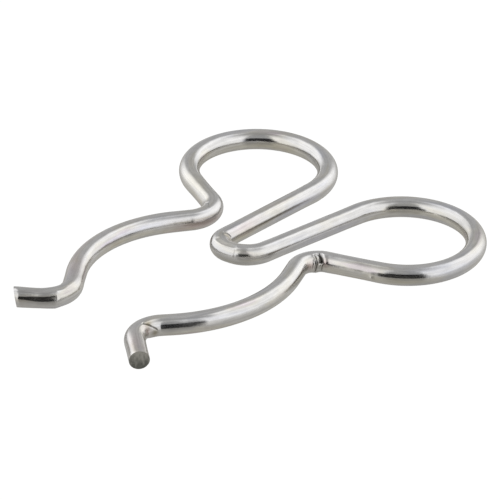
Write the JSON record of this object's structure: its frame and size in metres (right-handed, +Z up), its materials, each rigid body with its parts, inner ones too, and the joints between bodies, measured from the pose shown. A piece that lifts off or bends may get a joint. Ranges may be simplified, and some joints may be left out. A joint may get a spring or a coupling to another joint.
{
  "type": "wire spring pipe clip",
  "caption": "Flat spring clip bent from one round zinc-plated wire: bowed legs with out-turned tips snap onto a pipe, finger loops and a hairpin between them give the spring.",
  "frame": {"origin": "centre of the plan's box, on the surface that the clip lies on", "axes": "+X towards the finger loops, -X out of the mouth, +Y to the left leg, +Z up off the surface that the clip lies on"},
  "size_m": [0.0434, 0.0354, 0.002],
  "materials": {
    "zinc_plated_wire": "bright zinc plate on drawn spring-steel wire"
  },
  "bodies": {
    "root": {"clip_wire": "zinc_plated_wire"}
  },
  "joints": []
}
